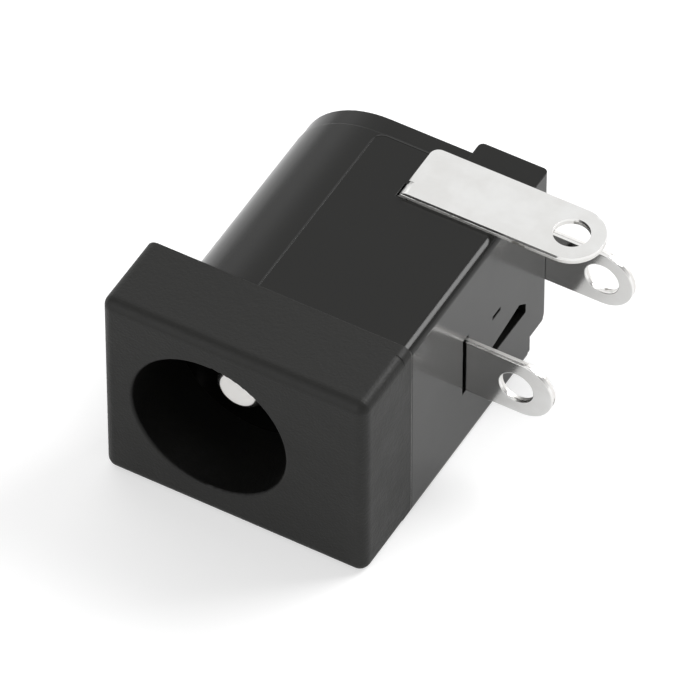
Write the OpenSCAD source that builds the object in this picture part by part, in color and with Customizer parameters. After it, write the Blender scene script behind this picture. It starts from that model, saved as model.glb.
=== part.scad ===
// Right-angle power jack for a circuit board: a one-piece moulded housing with a round
// socket, a riveted centre pin and three flat solder lugs with holes.
//
// The jack lies on one side. The origin is on the socket axis at the front face.
// +Y runs along the socket towards the rear, +X towards the circuit board, +Z is up.

/* [Flange] */
// Width of the flange across the board, along Z
flange_w = 9.0; // [8.6:0.1:10]
// Height of the flange above the board, along X
flange_h = 10.95; // [10.4:0.05:12]
// Thickness of the flange, along Y
flange_t = 3.4; // [2.2:0.1:4]
// Distance from the socket axis to the board
axis_to_board = 6.5; // [6.2:0.1:7]
// Radius of the flange's corners and front edges
flange_edge_r = 0.45; // [0.2:0.05:0.7]

/* [Body] */
// Distance from the front face to the rear face of the body
body_len = 13.0; // [12.4:0.05:14]
// Radius of the two rounded shoulders on top of the body
shoulder_r = 3.85; // [3:0.05:4.2]
// How far the top of the body lies below the top of the flange
top_drop = 0.8; // [0.3:0.05:1.2]
// Radius of the body's edges on the board side
body_edge_r = 0.4; // [0.1:0.05:0.5]
// Height of the flat side panels above the rounded core
panel_rise = 0.05; // [0.02:0.01:0.15]
// Radius of the side panels' rear corner
panel_corner_r = 0.3; // [0.1:0.05:0.6]
// Width of the plain band behind the side panels
rear_band = 0.8; // [0.4:0.1:1.2]
// How far the plain band lies below the rounded core
band_drop = 0.03; // [0.01:0.01:0.1]

/* [Rear end] */
// How far the foot block stands out behind the body
foot_proud = 0.6; // [0.3:0.05:1]
// Height of the foot block above the board
foot_h = 2.85; // [2.2:0.05:3.2]
// Radius of the foot block's edges
foot_edge_r = 0.22; // [0.1:0.02:0.28]
// Depth and width of the slope at the foot block's lower side
foot_slope = [0.3, 0.65];
// Depth of the corner relief beside the foot block
relief_depth = 0.65; // [0.2:0.05:0.9]
// Width of the corner relief beside the foot block
relief_w = 1.15; // [0.8:0.05:1.8]
// Height of the terminal's seat above the body's rear face
seat_proud = 0.45; // [0.2:0.05:0.8]
// Width of the walls beside the terminal's seat
seat_wall = 0.45; // [0.2:0.05:0.6]

/* [Socket] */
// Diameter of the socket
socket_d = 6.4; // [5.9:0.05:6.6]
// Thickness of the wall between the socket's floor and the rear face
floor_t = 2.45; // [2:0.05:2.6]
// Radius of the rounded rim of the socket
rim_r = 0.12; // [0.05:0.01:0.25]

/* [Centre pin] */
// Diameter of the centre pin
pin_d = 2.0; // [1.6:0.05:2.5]
// Distance from the front face to the tip of the pin
pin_setback = 2.1; // [0.5:0.1:4]
// Radius of the rounded tip
tip_r = 0.35; // [0.1:0.05:0.5]
// Diameter of the collar that rests on the socket's floor
collar_d = 3.2; // [2.8:0.1:3.6]
// Thickness of the collar
collar_t = 0.45; // [0.3:0.05:0.6]
// Diameter of the shank through the wall
shank_d = 1.6; // [1.2:0.05:1.9]
// Diameter of the riveted head
head_d = 2.5; // [2.2:0.1:2.8]
// Height of the riveted head
head_h = 0.45; // [0.3:0.05:0.7]

/* [Solder lugs] */
// Thickness of the contact strip
strip_t = 0.28; // [0.2:0.01:0.35]
// Width of the lugs
lug_w = 2.55; // [2.2:0.05:2.8]
// Diameter of the holes in the lugs
lug_hole_d = 1.4; // [1.1:0.05:1.7]
// Distance from the board to the middle of the lugs' round ends
lug_drop = 2.35; // [1.6:0.05:2.8]
// Radius of the folds, on the inside
fold_r = 0.15; // [0.1:0.01:0.25]

/* [Sleeve contact] */
// Distance from the slot of the middle lug to the socket's floor
slot_to_floor = 3.35; // [3:0.05:3.6]
// Gap in the slot in front of the lug
sleeve_slot_gap = 0.14; // [0.05:0.01:0.2]
// How far the middle lug lies below the socket axis
sleeve_lug_drop = 0.16; // [0:0.02:0.2]
// How far the middle lug's hole lies nearer to the board than its round end
sleeve_hole_lead = 0.2; // [0:0.05:0.3]
// Width of the leaf spring
leaf_w = 2.0; // [1.6:0.1:2.4]
// Slope of the leaf before its crest, in degrees
leaf_rise_angle = 38; // [34:1:46]
// Length of the straight part before the crest
leaf_rise_len = 0.66; // [0.5:0.01:0.8]
// Slope of the leaf behind its crest, in degrees
leaf_fall_angle = 22; // [18:1:26]
// Length of the straight part behind the crest
leaf_fall_len = 0.3; // [0.15:0.01:0.4]
// How far the leaf's end reaches past the switch tongue
leaf_tail = 0.1; // [0.05:0.01:0.14]
// Room for the leaf spring's travel away from the socket axis
leaf_travel = 1.0; // [0.6:0.05:1.3]

/* [Switch contact] */
// Distance from the socket axis to the inner end of the side strip
switch_end_x = 2.47; // [2.4:0.01:2.6]
// How far the tongue's fold stands past the end of the strip
tongue_step = 0.14; // [0.05:0.01:0.2]
// Width of the tongue that bends into the housing
tongue_w = 0.62; // [0.5:0.02:0.7]
// Gap between the tongue and the socket's floor
tongue_gap = 0.2; // [0.15:0.01:0.3]
// How far the tongue's end stops short of the leaf spring's edge
tongue_inset = 0.1; // [0:0.05:0.5]
// Corner radius of the strip's inner end
switch_corner_r = 0.35; // [0.1:0.05:0.6]

/* [Openings on the board side] */
// Width of the long slot behind the middle lug, at its front and at its rear
vent_w = [0.5, 0.85];
// Length of the long slot
vent_len = 2.55; // [1.6:0.05:2.8]
// Height of the long slot's straight lower side
vent_low_z = -1.65; // [-1.8:0.05:-1.4]
// Length and width of the slope at the long slot's rear upper corner
vent_slope = [0.5, 0.4];
// Depth of the long slot
vent_depth = 1.2; // [0.6:0.1:2]
// Width of the short slot beside it
notch_w = 0.2; // [0.1:0.05:0.3]
// Length of the short slot
notch_len = 0.6; // [0.5:0.05:0.9]
// Height of the short slot
notch_z = 0.3; // [0.2:0.05:0.8]
// Depth of the short slot
notch_depth = 0.2; // [0.1:0.05:1]

/* [Fits] */
// Clearance on each side of a metal piece in its slot
slot_clear = 0.16; // [0.08:0.01:0.25]
// Clearance round the switch tongue in its slot
tongue_clear = 0.04; // [0.03:0.01:0.1]
// How far the board side's slots start in front of the switch tongue
slot_lead = 0.3; // [0.1:0.05:0.5]
// Radial clearance of the pin's shank in the wall and in the rear terminal
shank_clear = 0.04; // [0.02:0.01:0.08]
// Clearance on each side of the rear terminal in its seat
seat_clear = 0.06; // [0.03:0.01:0.1]

/* [Hidden] */
$fn = 64;
overrun = 0.5;
fold_steps = 8;

half_w = flange_w / 2;
core_half = half_w - panel_rise;
flange_top_x = axis_to_board - flange_h;
shoulder_x = flange_top_x + top_drop + shoulder_r;
shoulder_z = core_half - shoulder_r;
panel_end_y = body_len - rear_band;
socket_depth = body_len - floor_t;

foot_top_x = axis_to_board - foot_h;
foot_end_y = body_len + foot_proud;
foot_low_z = relief_w - half_w;
seat_y = body_len + seat_proud;
seat_half = lug_w / 2 + seat_clear;

collar_y = socket_depth - collar_t;
head_y = seat_y + strip_t;
head_ball_r = (head_d * head_d / 4 + head_h * head_h) / (2 * head_h);

lug_end_x = axis_to_board + lug_drop;

tongue_x = switch_end_x - tongue_step;
tongue_y = socket_depth - tongue_gap - tongue_w;
tongue_low_z = tongue_inset - leaf_w / 2;
switch_y = tongue_y + lug_w / 2;

sleeve_slot_y = socket_depth - slot_to_floor;
sleeve_y = sleeve_slot_y + sleeve_slot_gap;
crest_r = fold_r + strip_t;
leaf_rest_x = tongue_x + strip_t;
leaf_crest_x = leaf_rest_x - bend_rise(leaf_fall_angle, leaf_fall_len);
leaf_root_x = leaf_crest_x + bend_rise(leaf_rise_angle, leaf_rise_len);
leaf_root_y = sleeve_y + strip_t + fold_r;
crest_y = leaf_root_y + bend_run(leaf_rise_angle, leaf_rise_len);
rest_y = crest_y + bend_run(leaf_fall_angle, leaf_fall_len);
leaf_end_y = tongue_y + tongue_w + leaf_tail;

pocket_x = leaf_root_x + strip_t + leaf_travel;
pocket_half = leaf_w / 2 + slot_clear;
board_slot_y = tongue_y - slot_lead;

// Height and length of a stretch of strip with a bend at each end and a straight part between
function bend_rise(angle, len) = (fold_r + crest_r) * (1 - cos(angle)) + len * sin(angle);
function bend_run(angle, len) = (fold_r + crest_r) * sin(angle) + len * cos(angle);

// Extrudes a flat shape, drawn in X and Z, from one Y to another
module along_y(from, to) {
    translate([0, to, 0])
        rotate([90, 0, 0])
            linear_extrude(to - from)
                children();
}

// Turns a shape made about the Z axis so that it lies about the socket axis
module about_socket() {
    rotate([-90, 0, 0])
        children();
}

// A box given by its lowest and highest corners
module block(low, high) {
    translate(low)
        cube(high - low);
}

// ---- Housing ----

// Post along Y with a round front end, for one corner of the flange
module flange_corner(r) {
    about_socket()
        rotate_extrude($fn = 32) {
            translate([0, r])
                square([r, flange_t - r]);
            intersection() {
                translate([0, r])
                    circle(r);
                square(r);
            }
        }
}

// Flange with rounded corners and rounded front edges
module flange() {
    r = flange_edge_r;
    hull()
        for (x = [flange_top_x + r, axis_to_board - r], z = [r - half_w, half_w - r])
            translate([x, 0, z])
                flange_corner(r);
}

// Straight flanks of the body's section, with small edges at the board
module flank_section(half) {
    edge_x = axis_to_board - body_edge_r;
    edge_z = half - body_edge_r;
    translate([shoulder_x, -half])
        square([edge_x - shoulder_x, 2 * half]);
    translate([shoulder_x, -edge_z])
        square([axis_to_board - shoulder_x, 2 * edge_z]);
    for (side = [-1, 1])
        translate([edge_x, side * edge_z])
            circle(body_edge_r);
}

// Section of the body, this far below the rounded core: two rounded shoulders with a narrow
// flat between them, and the flanks
module body_section(drop) {
    r = shoulder_r - drop;
    translate([shoulder_x - r, -shoulder_z])
        square([r, 2 * shoulder_z]);
    for (side = [-1, 1])
        translate([shoulder_x, side * shoulder_z])
            circle(r);
    flank_section(core_half - drop);
}

// Flat side panels with a rounded rear corner
module side_panels() {
    r = panel_corner_r;
    front_y = flange_t - overrun;
    intersection() {
        along_y(front_y, panel_end_y)
            flank_section(half_w);
        translate([0, 0, -half_w])
            linear_extrude(flange_w) {
                translate([shoulder_x, front_y])
                    square([axis_to_board - shoulder_x, panel_end_y - r - front_y]);
                translate([shoulder_x + r, front_y])
                    square([axis_to_board - shoulder_x - r, panel_end_y - front_y]);
                translate([shoulder_x + r, panel_end_y - r])
                    circle(r);
            }
    }
}

// Rounded core of the body, with the side panels just above it and the rear band just below
module body() {
    along_y(flange_t - overrun, panel_end_y)
        body_section(0);
    along_y(panel_end_y - overrun, body_len)
        body_section(band_drop);
    side_panels();
}

// Foot block behind the body on the board side, rounded above and below
module foot_block() {
    r = foot_edge_r;
    root_y = body_len - relief_depth - overrun;
    intersection() {
        translate([0, 0, -half_w])
            linear_extrude(flange_w)
                union() {
                    translate([foot_top_x, root_y])
                        square([foot_h, foot_end_y - r - root_y]);
                    translate([foot_top_x + r, root_y])
                        square([foot_h - 2 * r, foot_end_y - root_y]);
                    for (x = [foot_top_x + r, axis_to_board - r])
                        translate([x, foot_end_y - r])
                            circle(r);
                }
        translate([foot_top_x, 0, 0])
            rotate([90, 0, 90])
                linear_extrude(foot_h)
                    polygon([
                        [root_y, core_half], [foot_end_y, core_half],
                        [foot_end_y, foot_low_z + foot_slope[1]],
                        [foot_end_y - foot_slope[0], foot_low_z],
                        [root_y, foot_low_z]
                    ]);
    }
}

// Raised seat for the rear terminal: a round pad about the pin and a land down to the foot
module terminal_seat() {
    r = seat_half + seat_wall;
    along_y(body_len - overrun, seat_y) {
        circle(r);
        translate([0, -r])
            square([foot_top_x + foot_edge_r, 2 * r]);
    }
}

// Round socket with a rounded rim
module socket() {
    r = socket_d / 2;
    about_socket() {
        cylinder(r = r, h = socket_depth);
        translate([0, 0, -overrun])
            cylinder(r = r + rim_r, h = overrun);
        rotate_extrude()
            difference() {
                square([r + rim_r, rim_r]);
                translate([r + rim_r, rim_r])
                    circle(rim_r);
            }
    }
}

// Pocket beside the socket in which the leaf spring moves, with the slot for its lug
module sleeve_pocket() {
    slot_half = lug_w / 2 + slot_clear;
    block([leaf_crest_x, sleeve_slot_y, -pocket_half], [pocket_x, socket_depth, pocket_half]);
    block(
        [leaf_root_x, sleeve_slot_y, -slot_half - sleeve_lug_drop],
        [axis_to_board + overrun, sleeve_y + strip_t, slot_half - sleeve_lug_drop]
    );
}

// Slot in the side wall through which the switch tongue reaches the leaf spring
module tongue_slot() {
    gap = tongue_clear;
    block(
        [tongue_x - gap, tongue_y - gap, tongue_low_z - gap],
        [tongue_x + strip_t + fold_r + gap, tongue_y + tongue_w + gap, half_w + overrun]
    );
}

// The two narrow slots in the board side; the long one widens towards the rear
module board_slots() {
    rear_y = board_slot_y + vent_len;
    translate([axis_to_board - vent_depth, 0, 0])
        rotate([90, 0, 90])
            linear_extrude(vent_depth + overrun)
                polygon([
                    [board_slot_y, vent_low_z], [rear_y, vent_low_z],
                    [rear_y, vent_low_z + vent_w[1] - vent_slope[1]],
                    [rear_y - vent_slope[0], vent_low_z + vent_w[1]],
                    [board_slot_y, vent_low_z + vent_w[0]]
                ]);
    block(
        [axis_to_board - notch_depth, board_slot_y, notch_z],
        [axis_to_board + overrun, board_slot_y + notch_len, notch_z + notch_w]
    );
}

// Corner that is cut away beside the foot block
module corner_relief() {
    block(
        [foot_top_x, body_len - relief_depth, -half_w - overrun],
        [axis_to_board + overrun, foot_end_y + overrun, foot_low_z]
    );
}

// Channel that keeps the rear terminal from turning
module terminal_channel() {
    block(
        [0, seat_y, -seat_half],
        [axis_to_board + overrun, foot_end_y + overrun, seat_half]
    );
}

module housing() {
    color("#2b2b2c")
        difference() {
            union() {
                flange();
                difference() {
                    body();
                    corner_relief();
                }
                foot_block();
                terminal_seat();
            }
            socket();
            about_socket()
                cylinder(d = shank_d + 2 * shank_clear, h = foot_end_y + overrun);
            sleeve_pocket();
            tongue_slot();
            board_slots();
            terminal_channel();
        }
}

// ---- Metal pieces ----

// Turned pin: rounded tip, collar on the socket's floor, shank and riveted head; the shaft and
// the shank meet inside the collar
module centre_pin() {
    r = pin_d / 2;
    joint_y = collar_y + collar_t / 2;
    color("#d9d8d4")
        about_socket() {
            translate([0, 0, pin_setback + tip_r])
                cylinder(r = r, h = joint_y - pin_setback - tip_r);
            rotate_extrude() {
                translate([0, pin_setback])
                    square([r - tip_r, 2 * tip_r]);
                intersection() {
                    translate([r - tip_r, pin_setback + tip_r])
                        circle(tip_r);
                    square([r, pin_setback + tip_r]);
                }
            }
            translate([0, 0, collar_y])
                cylinder(d = collar_d, h = collar_t);
            translate([0, 0, joint_y])
                cylinder(d = shank_d, h = head_y + head_h / 2 - joint_y);
            rotate_extrude()
                intersection() {
                    translate([0, head_y + head_h - head_ball_r])
                        circle(head_ball_r, $fn = 128);
                    translate([0, head_y])
                        square([head_d / 2, head_h]);
                }
        }
}

// Flat outline of a solder lug that starts at root_x, with a round end and a hole in it,
// which lies this far nearer to the board than the end's middle
module lug_outline(root_x, hole_lead) {
    difference() {
        union() {
            translate([root_x, -lug_w / 2])
                square([lug_end_x - root_x, lug_w]);
            translate([lug_end_x, 0])
                circle(d = lug_w);
        }
        translate([lug_end_x - hole_lead, 0])
            circle(d = lug_hole_d);
    }
}

// Flat terminal under the riveted head, with its lug past the board
module rear_terminal() {
    color("#cfcdc8")
        along_y(seat_y, seat_y + strip_t)
            difference() {
                union() {
                    circle(d = lug_w);
                    lug_outline(0, 0);
                }
                circle(d = shank_d + 2 * shank_clear);
            }
}

// Points along an arc, from one heading to another
function turn(centre, r, from, to) = [
    for (i = [0:fold_steps])
        let(a = from + (to - from) * i / fold_steps)
            centre + r * [cos(a), sin(a)]
];

function reversed(points) = [for (i = [len(points) - 1:-1:0]) points[i]];

// One face of the leaf spring in side view: fold, rise, crest, fall and tail.
// The face lies x_off behind the front one, and has these radii on left and right bends.
function leaf_face(x_off, left_r, right_r) = concat(
    turn([leaf_root_x + strip_t + fold_r, leaf_root_y], right_r, 270, 180),
    turn([leaf_root_x - fold_r, leaf_root_y], left_r, 0, leaf_rise_angle),
    turn([leaf_crest_x + crest_r, crest_y], right_r, 180 + leaf_rise_angle, 180 - leaf_fall_angle),
    turn([leaf_rest_x - fold_r, rest_y], left_r, -leaf_fall_angle, 0),
    [[leaf_rest_x + x_off, leaf_end_y]]
);

// Folded strip: the middle lug, and the leaf spring that presses on the plug's sleeve
module sleeve_contact() {
    fold_x = leaf_root_x + strip_t + fold_r;
    color("#d4d2cd") {
        along_y(sleeve_y, sleeve_y + strip_t) {
            translate([0, -sleeve_lug_drop])
                lug_outline(pocket_x, sleeve_hole_lead);
            translate([fold_x, -leaf_w / 2])
                square([pocket_x + lug_w / 4 - fold_x, leaf_w]);
        }
        translate([0, 0, -leaf_w / 2])
            linear_extrude(leaf_w)
                polygon(concat(
                    leaf_face(0, fold_r, crest_r),
                    reversed(leaf_face(strip_t, crest_r, fold_r)),
                    [[pocket_x, sleeve_y + strip_t], [pocket_x, sleeve_y]]
                ));
    }
}

// Flat outline of the side strip, its inner corner rounded
module switch_outline() {
    r = switch_corner_r;
    rear = lug_w / 2;
    shoulder = tongue_w - lug_w / 2;
    translate([switch_end_x + r, shoulder])
        square([2 * r, lug_w - tongue_w]);
    translate([switch_end_x, shoulder])
        square([2 * r, rear - r - shoulder]);
    translate([switch_end_x + r, rear - r])
        circle(r);
    lug_outline(switch_end_x + 2 * r, 0);
}

// Folded strip on the side of the housing: the side lug, and a tongue bent inwards
module switch_contact() {
    fold = [tongue_x + crest_r, half_w - fold_r];
    inner_x = switch_end_x + 3 * switch_corner_r;
    color("#e2e1de") {
        translate([0, switch_y, half_w])
            linear_extrude(strip_t)
                switch_outline();
        along_y(tongue_y, tongue_y + tongue_w)
            polygon(concat(
                [[inner_x, half_w + strip_t]],
                turn(fold, crest_r, 90, 180),
                [[tongue_x, tongue_low_z], [tongue_x + strip_t, tongue_low_z]],
                turn(fold, fold_r, 180, 90),
                [[inner_x, half_w]]
            ));
    }
}

housing();
centre_pin();
rear_terminal();
sleeve_contact();
switch_contact();
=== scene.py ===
from math import cos, pi, radians, sin

import bmesh
import bpy
from mathutils import Matrix, Vector


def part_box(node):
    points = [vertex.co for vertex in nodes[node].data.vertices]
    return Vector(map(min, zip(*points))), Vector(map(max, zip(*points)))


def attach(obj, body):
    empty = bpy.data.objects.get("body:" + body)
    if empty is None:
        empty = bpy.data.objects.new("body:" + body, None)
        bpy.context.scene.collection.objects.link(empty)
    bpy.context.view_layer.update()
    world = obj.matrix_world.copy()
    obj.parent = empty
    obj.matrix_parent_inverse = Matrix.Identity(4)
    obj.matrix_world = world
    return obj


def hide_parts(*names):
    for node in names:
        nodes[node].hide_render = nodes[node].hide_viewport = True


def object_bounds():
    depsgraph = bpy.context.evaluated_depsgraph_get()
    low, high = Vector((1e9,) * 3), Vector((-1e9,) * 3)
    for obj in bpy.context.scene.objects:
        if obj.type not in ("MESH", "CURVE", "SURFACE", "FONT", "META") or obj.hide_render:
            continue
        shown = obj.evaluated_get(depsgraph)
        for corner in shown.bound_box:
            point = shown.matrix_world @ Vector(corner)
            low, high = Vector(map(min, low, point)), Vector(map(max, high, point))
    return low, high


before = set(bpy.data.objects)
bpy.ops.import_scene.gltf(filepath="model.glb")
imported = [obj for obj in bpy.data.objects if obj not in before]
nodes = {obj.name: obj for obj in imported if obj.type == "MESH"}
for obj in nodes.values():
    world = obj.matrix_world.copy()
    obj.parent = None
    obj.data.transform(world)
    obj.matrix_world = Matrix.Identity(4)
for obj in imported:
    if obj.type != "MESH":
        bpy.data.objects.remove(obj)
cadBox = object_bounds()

mm = 0.001
scene = bpy.context.scene
scene.view_settings.view_transform = "Standard"
print("frame loaded:", ", ".join(sorted(nodes)))


# camera: a long lens, a little to the right of the socket and well above it
cameraView = {
    "azimuth": 29.62,      # degrees, from the front towards the board side
    "elevation": 47.68,
    "roll": -0.02,
    "distance": 364.5,     # mm
    "lens": 513.8,
    "aim": (1.0, 7.0, 0.0),
    "slide": (0.796, -1.310),  # mm to the right and up in the picture
}


def addCamera(view):
    a, e, r = (radians(view[k]) for k in ("azimuth", "elevation", "roll"))
    back = Vector((sin(a) * cos(e), -cos(a) * cos(e), sin(e)))
    level = Vector((cos(a), sin(a), 0))
    rise = back.cross(level)
    right = cos(r) * level + sin(r) * rise
    up = back.cross(right)
    aim = Vector(view["aim"]) + view["slide"][0] * right + view["slide"][1] * up
    data = bpy.data.cameras.new("camera")
    data.lens = view["lens"]
    data.sensor_width = 36
    camera = bpy.data.objects.new("camera", data)
    turn = Matrix((right, up, back)).transposed().to_4x4()
    camera.matrix_world = Matrix.Translation((aim + view["distance"] * back) * mm) @ turn
    scene.collection.objects.link(camera)
    scene.camera = camera


addCamera(cameraView)
print("camera placed")


# shader helpers
def addNode(tree, kind, inputs=None, **settings):
    node = tree.nodes.new(kind)
    for key, value in settings.items():
        setattr(node, key, value)
    for socket, value in (inputs or {}).items():
        if isinstance(value, bpy.types.NodeSocket):
            tree.links.new(value, node.inputs[socket])
        else:
            node.inputs[socket].default_value = value
    return node


def calc(tree, operation, a, b=0.0):
    return addNode(tree, "ShaderNodeMath", {0: a, 1: b}, operation=operation).outputs[0]


def smoothStep(tree, value, low, high, outLow=0.0, outHigh=1.0):
    inputs = {"Value": value, "From Min": low, "From Max": high, "To Min": outLow, "To Max": outHigh}
    step = addNode(tree, "ShaderNodeMapRange", inputs, interpolation_type="SMOOTHSTEP")
    return step.outputs["Result"]


def mixColour(tree, factor, a, b):
    mix = addNode(tree, "ShaderNodeMix", data_type="RGBA")
    for socket, value in ((0, factor), (6, a), (7, b)):
        if isinstance(value, bpy.types.NodeSocket):
            tree.links.new(value, mix.inputs[socket])
        else:
            mix.inputs[socket].default_value = value
    return mix.outputs[2]


def newMaterial(name):
    material = bpy.data.materials.new(name)
    material.use_nodes = True
    tree = material.node_tree
    tree.nodes.clear()
    surface = addNode(tree, "ShaderNodeBsdfPrincipled")
    output = addNode(tree, "ShaderNodeOutputMaterial", {"Surface": surface.outputs[0]})
    output.target = "ALL"
    return material, tree, surface


def millimetres(tree):
    place = addNode(tree, "ShaderNodeTexCoord").outputs["Object"]
    return addNode(tree, "ShaderNodeMapping", {"Vector": place, "Scale": (1000, 1000, 1000)}).outputs[0]


# group: two sizes of noise as one height, for grain and for fine unevenness
def makeGrainGroup():
    group = bpy.data.node_groups.new("grain", "ShaderNodeTree")
    for name, kind, value in (("Place", "NodeSocketVector", None), ("Scale", "NodeSocketFloat", 10.0),
                              ("Coarse Share", "NodeSocketFloat", 0.4)):
        socket = group.interface.new_socket(name, in_out="INPUT", socket_type=kind)
        if value is not None:
            socket.default_value = value
    group.interface.new_socket("Height", in_out="OUTPUT", socket_type="NodeSocketFloat")
    source = addNode(group, "NodeGroupInput").outputs
    fine = addNode(group, "ShaderNodeTexNoise",
                   {"Vector": source["Place"], "Scale": source["Scale"], "Detail": 2.0, "Roughness": 0.6})
    coarseScale = calc(group, "MULTIPLY", source["Scale"], 0.27)
    coarse = addNode(group, "ShaderNodeTexNoise",
                     {"Vector": source["Place"], "Scale": coarseScale, "Detail": 1.0, "Roughness": 0.5})
    fineShare = calc(group, "SUBTRACT", 1.0, source["Coarse Share"])
    height = calc(group, "ADD", calc(group, "MULTIPLY", fine.outputs[0], fineShare),
                  calc(group, "MULTIPLY", coarse.outputs[0], source["Coarse Share"]))
    addNode(group, "NodeGroupOutput", {"Height": height})
    return group


grainGroup = makeGrainGroup()


def grain(tree, place, scale, coarseShare):
    node = addNode(tree, "ShaderNodeGroup", node_tree=grainGroup)
    tree.links.new(place, node.inputs["Place"])
    node.inputs["Scale"].default_value = scale
    node.inputs["Coarse Share"].default_value = coarseShare
    return node.outputs["Height"]


# housing: one moulding, grained on the flange and polished behind it, with painted shade inside the socket bore
housingFinish = {
    "grained": (0.0125, 0.0125, 0.0116, 1),
    "polished": (0.0088, 0.0088, 0.0080, 1),
    # painted shade: the colour inside the socket bore, darker than the rest of the moulding
    "socket": (0.004, 0.004, 0.0036, 1),
    "specular": 0.25,
    "grainedRoughness": 0.48,
    "polishedRoughness": 0.17,
    "roughnessSpread": 0.1,
    "grainScale": 9.0,       # per mm
    "grainHeight": 0.022,    # mm
    "waveScale": 1.3,
    "waveHeight": 0.003,
    "edgeRound": 0.045,      # mm
    "seamDepth": 0.02,       # mm, the groove behind the flange on the board side
    "seamWidth": 0.05,
    "lineHeight": 0.012,     # the mould line round the top of the side panel
    "lineWidth": 0.045,
    "lineX": 0.15,
    "lineY": 12.12,
    "lineCorner": 0.45,
}


# a fine raised line along X = lineX and Y = lineY on the upper side, with a rounded corner between
def mouldLine(tree, split, finish):
    corner = finish["lineCorner"]
    inX = calc(tree, "SUBTRACT", finish["lineX"] + corner, split["X"])
    inY = calc(tree, "SUBTRACT", split["Y"], finish["lineY"] - corner)
    pastX = calc(tree, "MAXIMUM", inX, 0.0)
    pastY = calc(tree, "MAXIMUM", inY, 0.0)
    reach = calc(tree, "SQRT", calc(tree, "ADD", calc(tree, "MULTIPLY", pastX, pastX),
                                    calc(tree, "MULTIPLY", pastY, pastY)))
    inside = calc(tree, "MINIMUM", calc(tree, "MAXIMUM", inX, inY), 0.0)
    gap = calc(tree, "ABSOLUTE", calc(tree, "SUBTRACT", calc(tree, "ADD", reach, inside), corner))
    ridge = smoothStep(tree, gap, 0.0, finish["lineWidth"], finish["lineHeight"], 0.0)
    upper = smoothStep(tree, split["Z"], 4.3, 4.4)
    return calc(tree, "MULTIPLY", ridge, upper)


def makeHousingMaterial(finish):
    material, tree, surface = newMaterial("mouldedPlastic")
    place = millimetres(tree)
    split = addNode(tree, "ShaderNodeSeparateXYZ", {0: place}).outputs
    flangeBack = max(v.co.y for v in nodes["housing"].data.vertices if v.co.x < -4.4 * mm) / mm
    polished = smoothStep(tree, split["Y"], flangeBack - 0.01, flangeBack + 0.01)
    grained = calc(tree, "SUBTRACT", 1.0, polished)
    colour = mixColour(tree, polished, finish["grained"], finish["polished"])
    across = addNode(tree, "ShaderNodeCombineXYZ", {"X": split["X"], "Z": split["Z"]}).outputs[0]
    fromAxis = addNode(tree, "ShaderNodeVectorMath", {0: across}, operation="LENGTH").outputs["Value"]
    # inside the socket bore, short of the rear end, the colour is painted darker as shade in the hole
    rim = [v.co for v in nodes["housing"].data.vertices if v.co.y < 0.3 * mm]
    socketWall = min(Vector((p.x, p.z)).length for p in rim) / mm
    outside = smoothStep(tree, fromAxis, socketWall + 0.02, socketWall + 0.08)
    behind = smoothStep(tree, split["Y"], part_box("housing")[1][1] / mm - 0.7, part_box("housing")[1][1] / mm - 0.6)
    outside = calc(tree, "MAXIMUM", outside, behind)
    tree.links.new(mixColour(tree, outside, finish["socket"], colour), surface.inputs["Base Color"])
    surface.inputs["Specular IOR Level"].default_value = finish["specular"]
    sheen = grain(tree, place, 2.2, 0.6)
    spread = calc(tree, "MULTIPLY", calc(tree, "SUBTRACT", sheen, 0.5), finish["roughnessSpread"] * 2)
    body = calc(tree, "ADD", spread, finish["polishedRoughness"])
    step = calc(tree, "MULTIPLY", grained, finish["grainedRoughness"] - finish["polishedRoughness"])
    tree.links.new(calc(tree, "ADD", body, step), surface.inputs["Roughness"])
    rounding = addNode(tree, "ShaderNodeBevel", {"Radius": finish["edgeRound"] * mm}, samples=6)
    fine = calc(tree, "MULTIPLY", grain(tree, place, finish["grainScale"], 0.35), finish["grainHeight"])
    waves = calc(tree, "MULTIPLY", grain(tree, place, finish["waveScale"], 0.5), finish["waveHeight"])
    height = calc(tree, "ADD", calc(tree, "MULTIPLY", fine, grained), calc(tree, "MULTIPLY", waves, polished))
    height = calc(tree, "ADD", height, calc(tree, "MULTIPLY", mouldLine(tree, split, finish), polished))
    fromSeam = calc(tree, "ABSOLUTE", calc(tree, "SUBTRACT", split["Y"], flangeBack + finish["seamWidth"]))
    seam = smoothStep(tree, fromSeam, 0.0, finish["seamWidth"], -finish["seamDepth"], 0.0)
    boardSide = smoothStep(tree, split["X"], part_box("housing")[1][0] / mm - 0.1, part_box("housing")[1][0] / mm)
    height = calc(tree, "ADD", height, calc(tree, "MULTIPLY", seam, boardSide))
    bump = addNode(tree, "ShaderNodeBump", {"Height": height, "Distance": mm, "Normal": rounding.outputs[0]})
    tree.links.new(bump.outputs[0], surface.inputs["Normal"])
    return material


# contacts: stamped strip with a bright tin plating. The outer face is set back a little, within a
# border that rises to every cut edge.
stripShape = {
    "thickness": 0.28,       # mm
    "break": 0.02,
    "sharp": 40,             # degrees between faces that make an edge
}
softRoll = {"width": 0.12, "drop": 0.03}     # mm
crispRoll = {"width": 0.05, "drop": 0.008}
stripFinish = {
    "colour": (0.82, 0.82, 0.81, 1),
    "shade": (0.76, 0.755, 0.74, 1),
    "roughness": 0.12,
    "cloudScale": 1.1,
    "streakHeight": 0.0008,
}
cutFinish = {
    "burnished": (0.84, 0.835, 0.82, 1),
    "torn": (0.80, 0.79, 0.77, 1),
    # painted shade: the colour at the bottom of the pits on the torn zone
    "paintedPitShade": (0.30, 0.29, 0.27, 1),
    "burnishedRoughness": 0.2,
    "tornRoughness": 0.5,
    "tearAt": 0.5,           # share of the thickness
    "tearWave": 0.25,
    "pitHeight": 0.03,       # mm
    "pitScale": 4.5,
}


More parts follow.
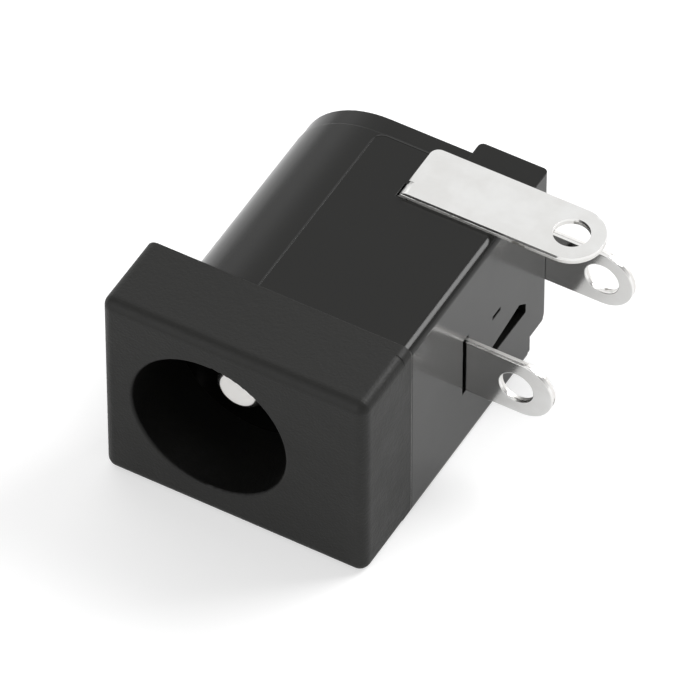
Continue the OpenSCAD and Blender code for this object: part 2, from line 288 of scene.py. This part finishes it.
def makeStripMaterial(finish):
    material, tree, surface = newMaterial("tinnedStrip")
    place = millimetres(tree)
    clouds = grain(tree, place, finish["cloudScale"], 0.5)
    colour = mixColour(tree, smoothStep(tree, clouds, 0.35, 0.65), finish["shade"], finish["colour"])
    tree.links.new(colour, surface.inputs["Base Color"])
    surface.inputs["Metallic"].default_value = 1
    streakPlace = addNode(tree, "ShaderNodeMapping", {"Vector": place, "Scale": (0.5, 9, 9)}).outputs[0]
    streaks = addNode(tree, "ShaderNodeTexNoise", {"Vector": streakPlace, "Scale": 1.0, "Detail": 3.0}).outputs[0]
    rough = calc(tree, "ADD", finish["roughness"] - 0.04, calc(tree, "MULTIPLY", clouds, 0.08))
    tree.links.new(rough, surface.inputs["Roughness"])
    height = calc(tree, "MULTIPLY", streaks, finish["streakHeight"])
    bump = addNode(tree, "ShaderNodeBump", {"Height": height, "Distance": mm})
    tree.links.new(bump.outputs[0], surface.inputs["Normal"])
    return material


def makeCutMaterial(finish):
    material, tree, surface = newMaterial("cutEdge")
    place = millimetres(tree)
    surface.inputs["Metallic"].default_value = 1
    across = addNode(tree, "ShaderNodeAttribute", attribute_name="across").outputs["Fac"]
    pits = grain(tree, place, finish["pitScale"], 0.6)
    wave = calc(tree, "MULTIPLY", calc(tree, "SUBTRACT", grain(tree, place, 3.0, 0.5), 0.5), finish["tearWave"])
    depth = calc(tree, "ADD", across, wave)
    torn = smoothStep(tree, depth, finish["tearAt"] - 0.06, finish["tearAt"] + 0.06)
    # the low points of the pit height get a darker colour: painted shade in the pits
    tornWithPitShade = mixColour(tree, smoothStep(tree, pits, 0.46, 0.38), finish["torn"], finish["paintedPitShade"])
    tree.links.new(mixColour(tree, torn, finish["burnished"], tornWithPitShade), surface.inputs["Base Color"])
    rough = calc(tree, "MULTIPLY", torn, finish["tornRoughness"] - finish["burnishedRoughness"])
    tree.links.new(calc(tree, "ADD", rough, finish["burnishedRoughness"]), surface.inputs["Roughness"])
    deep = calc(tree, "MULTIPLY", pits, finish["pitHeight"])
    strength = calc(tree, "ADD", 0.35, calc(tree, "MULTIPLY", torn, 0.65))
    bump = addNode(tree, "ShaderNodeBump", {"Height": calc(tree, "MULTIPLY", deep, strength), "Distance": mm})
    tree.links.new(bump.outputs[0], surface.inputs["Normal"])
    return material


# A finer copy of a contact stands for the plain one. outward tells how far a point lies
# from the outer face, isOuter which faces are that face, and isCut which ones were sheared.
def makeStrip(name, outward, isOuter, isCut, roll):
    mesh = bpy.data.meshes.new(name + "Rolled")
    shape = bmesh.new()
    shape.from_mesh(nodes[name].data)
    bmesh.ops.remove_doubles(shape, verts=shape.verts, dist=0.0005 * mm)
    bmesh.ops.dissolve_limit(shape, angle_limit=radians(0.5), verts=shape.verts, edges=shape.edges)
    for face in shape.faces:
        face.material_index = int(isCut(face))
    # the outer face goes down by the drop, and its border stays up at every cut edge
    outer = [f for f in shape.faces if isOuter(f)]
    border = {}
    for v in {v for f in outer for v in f.verts}:
        if any(f.material_index for f in v.link_faces):
            border[v] = sum((f.normal for f in v.link_faces if isOuter(f)), Vector()).normalized()
    bmesh.ops.inset_region(shape, faces=outer, thickness=roll["width"] * mm, depth=0,
                           use_boundary=True, use_even_offset=True)
    for v, normal in border.items():
        v.co -= normal * roll["drop"] * mm
    sharp = [e for e in shape.edges if len(e.link_faces) == 2
             and e.calc_face_angle(0) > radians(stripShape["sharp"])]
    bmesh.ops.bevel(shape, geom=sharp, offset=stripShape["break"] * mm, offset_type="OFFSET", affect="EDGES",
                    segments=2, profile=0.5, material=-1, clamp_overlap=True)
    layer = shape.verts.layers.float.new("across")
    for v in shape.verts:
        v[layer] = outward(v.co) / (stripShape["thickness"] * mm)
    for face in shape.faces:
        face.smooth = True
    shape.to_mesh(mesh)
    shape.free()
    mesh.set_sharp_from_angle(angle=radians(stripShape["sharp"]))
    piece = bpy.data.objects.new(name + "Rolled", mesh)
    scene.collection.objects.link(piece)
    mesh.materials.append(strip)
    mesh.materials.append(cut)
    # large faces keep their own plane
    flatten = piece.modifiers.new("flatFaces", "WEIGHTED_NORMAL")
    flatten.weight = 100
    flatten.keep_sharp = True
    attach(piece, "root")
    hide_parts(name)
    print(name, len(mesh.polygons), "faces")
    return piece


# pin: turned brass with a bright plating, its tip faced off and a little matt
pinFinish = {
    "colour": (0.94, 0.925, 0.90, 1),
    "faced": 0.0,            # how metallic the faced tip looks
    "facedDepth": 0.02,      # mm
    "facedRoughness": 0.5,
    "turnedRoughness": 0.14,
    "turnHeight": 0.0012,
}


def makePinMaterial(finish, tipY):
    material, tree, surface = newMaterial("platedPin")
    place = millimetres(tree)
    along = addNode(tree, "ShaderNodeSeparateXYZ", {0: place}).outputs["Y"]
    turned = smoothStep(tree, along, tipY, tipY + finish["facedDepth"])
    surface.inputs["Base Color"].default_value = finish["colour"]
    metal = calc(tree, "MULTIPLY", turned, 1 - finish["faced"])
    tree.links.new(calc(tree, "ADD", metal, finish["faced"]), surface.inputs["Metallic"])
    polish = calc(tree, "MULTIPLY", turned, finish["turnedRoughness"] - finish["facedRoughness"])
    tree.links.new(calc(tree, "ADD", polish, finish["facedRoughness"]), surface.inputs["Roughness"])
    rings = addNode(tree, "ShaderNodeTexNoise", {"Vector": place, "Scale": 7.0, "Detail": 2.0}).outputs[0]
    height = calc(tree, "MULTIPLY", rings, finish["turnHeight"])
    bump = addNode(tree, "ShaderNodeBump", {"Height": height, "Distance": mm})
    tree.links.new(bump.outputs[0], surface.inputs["Normal"])
    return material


# The pin's triangles are merged so that it shades smoothly, and its form stays as it is.
def makePin():
    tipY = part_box("centre_pin")[0][1]
    mesh = bpy.data.meshes.new("turnedPin")
    shape = bmesh.new()
    shape.from_mesh(nodes["centre_pin"].data)
    bmesh.ops.remove_doubles(shape, verts=shape.verts, dist=0.0005 * mm)
    bmesh.ops.dissolve_limit(shape, angle_limit=radians(0.5), verts=shape.verts, edges=shape.edges)
    for face in shape.faces:
        face.smooth = True
    shape.to_mesh(mesh)
    shape.free()
    mesh.set_sharp_from_angle(angle=radians(35))
    pin = bpy.data.objects.new("turnedPin", mesh)
    scene.collection.objects.link(pin)
    flatten = pin.modifiers.new("flatFaces", "WEIGHTED_NORMAL")
    flatten.weight = 100
    flatten.keep_sharp = True
    mesh.materials.append(makePinMaterial(pinFinish, tipY / mm))
    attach(pin, "root")
    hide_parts("centre_pin")
    print("pin", len(mesh.polygons), "faces")


def dress(node, material):
    mesh = nodes[node].data
    mesh.materials.clear()
    mesh.materials.append(material)


dress("housing", makeHousingMaterial(housingFinish))
makePin()
strip = makeStripMaterial(stripFinish)
cut = makeCutMaterial(cutFinish)
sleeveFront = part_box("sleeve_contact")[0][1]
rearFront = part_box("rear_terminal")[0][1]
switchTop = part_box("switch_contact")[1][2]
tongueBack = max(v.co.y for v in nodes["switch_contact"].data.vertices if v.co.z < 0) + 0.01 * mm
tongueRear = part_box("switch_contact")[0][0] + 0.5 * mm
lugFrom = 7.5 * mm


# the tongue and its fold, apart from their sheared sides
def onTongue(face):
    middle = face.calc_center_median()
    return middle.y < tongueBack and middle.x < tongueRear and abs(face.normal.y) < 0.5


makeStrip("rear_terminal", lambda p: p.y - rearFront,
          lambda f: f.normal.y < -0.99,
          lambda f: abs(f.normal.y) < 0.5, crispRoll)
makeStrip("sleeve_contact", lambda p: p.y - sleeveFront,
          lambda f: f.normal.y < -0.99 and f.calc_center_median().x > 5 * mm,
          lambda f: abs(f.normal.z) > 0.5 or (f.calc_center_median().x > lugFrom and abs(f.normal.y) < 0.5),
          crispRoll)
makeStrip("switch_contact", lambda p: switchTop - p.z,
          lambda f: f.normal.z > 0.99 or (onTongue(f) and f.normal.x < -0.05),
          lambda f: abs(f.normal.y) > 0.5 or (abs(f.normal.z) < 0.5 and not onTongue(f)),
          softRoll)
print("contacts and materials made")


# floor: white paper that keeps the object's shadow
floorSet = {
    "size": 3.0,          # m
    "paper": 0.66,        # share of the white that comes from the lamps
    "glow": 0.46,         # what the camera sees on top of that
    "mirroredGlow": 0.28,
}


def addFloor(values):
    mesh = bpy.data.meshes.new("floor")
    plane = bmesh.new()
    bmesh.ops.create_grid(plane, x_segments=1, y_segments=1, size=values["size"] / 2)
    plane.to_mesh(mesh)
    plane.free()
    mesh.transform(Matrix.Translation((0, 0, cadBox[0][2])))
    floor = bpy.data.objects.new("floor", mesh)
    scene.collection.objects.link(floor)
    material = bpy.data.materials.new("paper")
    material.use_nodes = True
    tree = material.node_tree
    tree.nodes.clear()
    grey = (values["paper"],) * 3 + (1,)
    paper = addNode(tree, "ShaderNodeBsdfDiffuse", {"Color": grey})
    path = addNode(tree, "ShaderNodeLightPath").outputs
    seen = calc(tree, "MULTIPLY", path["Is Camera Ray"], values["glow"])
    mirrored = calc(tree, "MAXIMUM", path["Is Glossy Ray"], path["Is Transmission Ray"])
    mirrored = calc(tree, "MULTIPLY", mirrored, values["mirroredGlow"])
    glow = addNode(tree, "ShaderNodeEmission", {"Strength": calc(tree, "MAXIMUM", seen, mirrored)})
    both = addNode(tree, "ShaderNodeAddShader", {0: paper.outputs[0], 1: glow.outputs[0]})
    addNode(tree, "ShaderNodeOutputMaterial", {"Surface": both.outputs[0]})
    mesh.materials.append(material)


addFloor(floorSet)

# light: one soft box behind on the board side, and a room that is white low down and grey above,
# with a white card in it behind the object
keyLight = {"towards": (0.41, 0.59, 0.68), "distance": 250, "size": 120, "radiance": 10.0}
room = {"low": 1.0, "high": 0.35, "whiteBelow": 0.2, "greyAbove": 0.6}
cards = [   # white cards in the room: direction, brightness, half angles of the even part and of the whole
    {"towards": (-0.34, 0.59, 0.73), "white": 0.9, "inner": 20, "outer": 48},
    {"towards": (-0.25, -0.85, 0.45), "white": 1.7, "inner": 20, "outer": 44},
]


def addSoftBox(name, values):
    data = bpy.data.lights.new(name, "AREA")
    data.shape = "SQUARE"
    data.size = values["size"] * mm
    data.energy = values["radiance"] * pi * data.size ** 2
    lamp = bpy.data.objects.new(name, data)
    direction = Vector(values["towards"]).normalized()
    lamp.location = direction * values["distance"] * mm
    lamp.rotation_euler = direction.to_track_quat("Z", "Y").to_euler()
    scene.collection.objects.link(lamp)


def addRoom(values):
    world = bpy.data.worlds.new("room")
    world.use_nodes = True
    scene.world = world
    tree = world.node_tree
    tree.nodes.clear()
    direction = addNode(tree, "ShaderNodeTexCoord").outputs["Generated"]
    height = addNode(tree, "ShaderNodeSeparateXYZ", {0: direction}).outputs["Z"]
    strength = smoothStep(tree, height, values["whiteBelow"], values["greyAbove"], values["low"], values["high"])
    for card in cards:
        towards = tuple(Vector(card["towards"]).normalized())
        facing = addNode(tree, "ShaderNodeVectorMath", {0: direction, 1: towards}, operation="DOT_PRODUCT")
        outer, inner = cos(radians(card["outer"])), cos(radians(card["inner"]))
        white = smoothStep(tree, facing.outputs["Value"], outer, inner, 0.0, card["white"])
        strength = calc(tree, "ADD", strength, white)
    back = addNode(tree, "ShaderNodeBackground", {"Strength": strength})
    addNode(tree, "ShaderNodeOutputWorld", {"Surface": back.outputs[0]})


addSoftBox("softBox", keyLight)
addRoom(room)
print("floor and light placed")
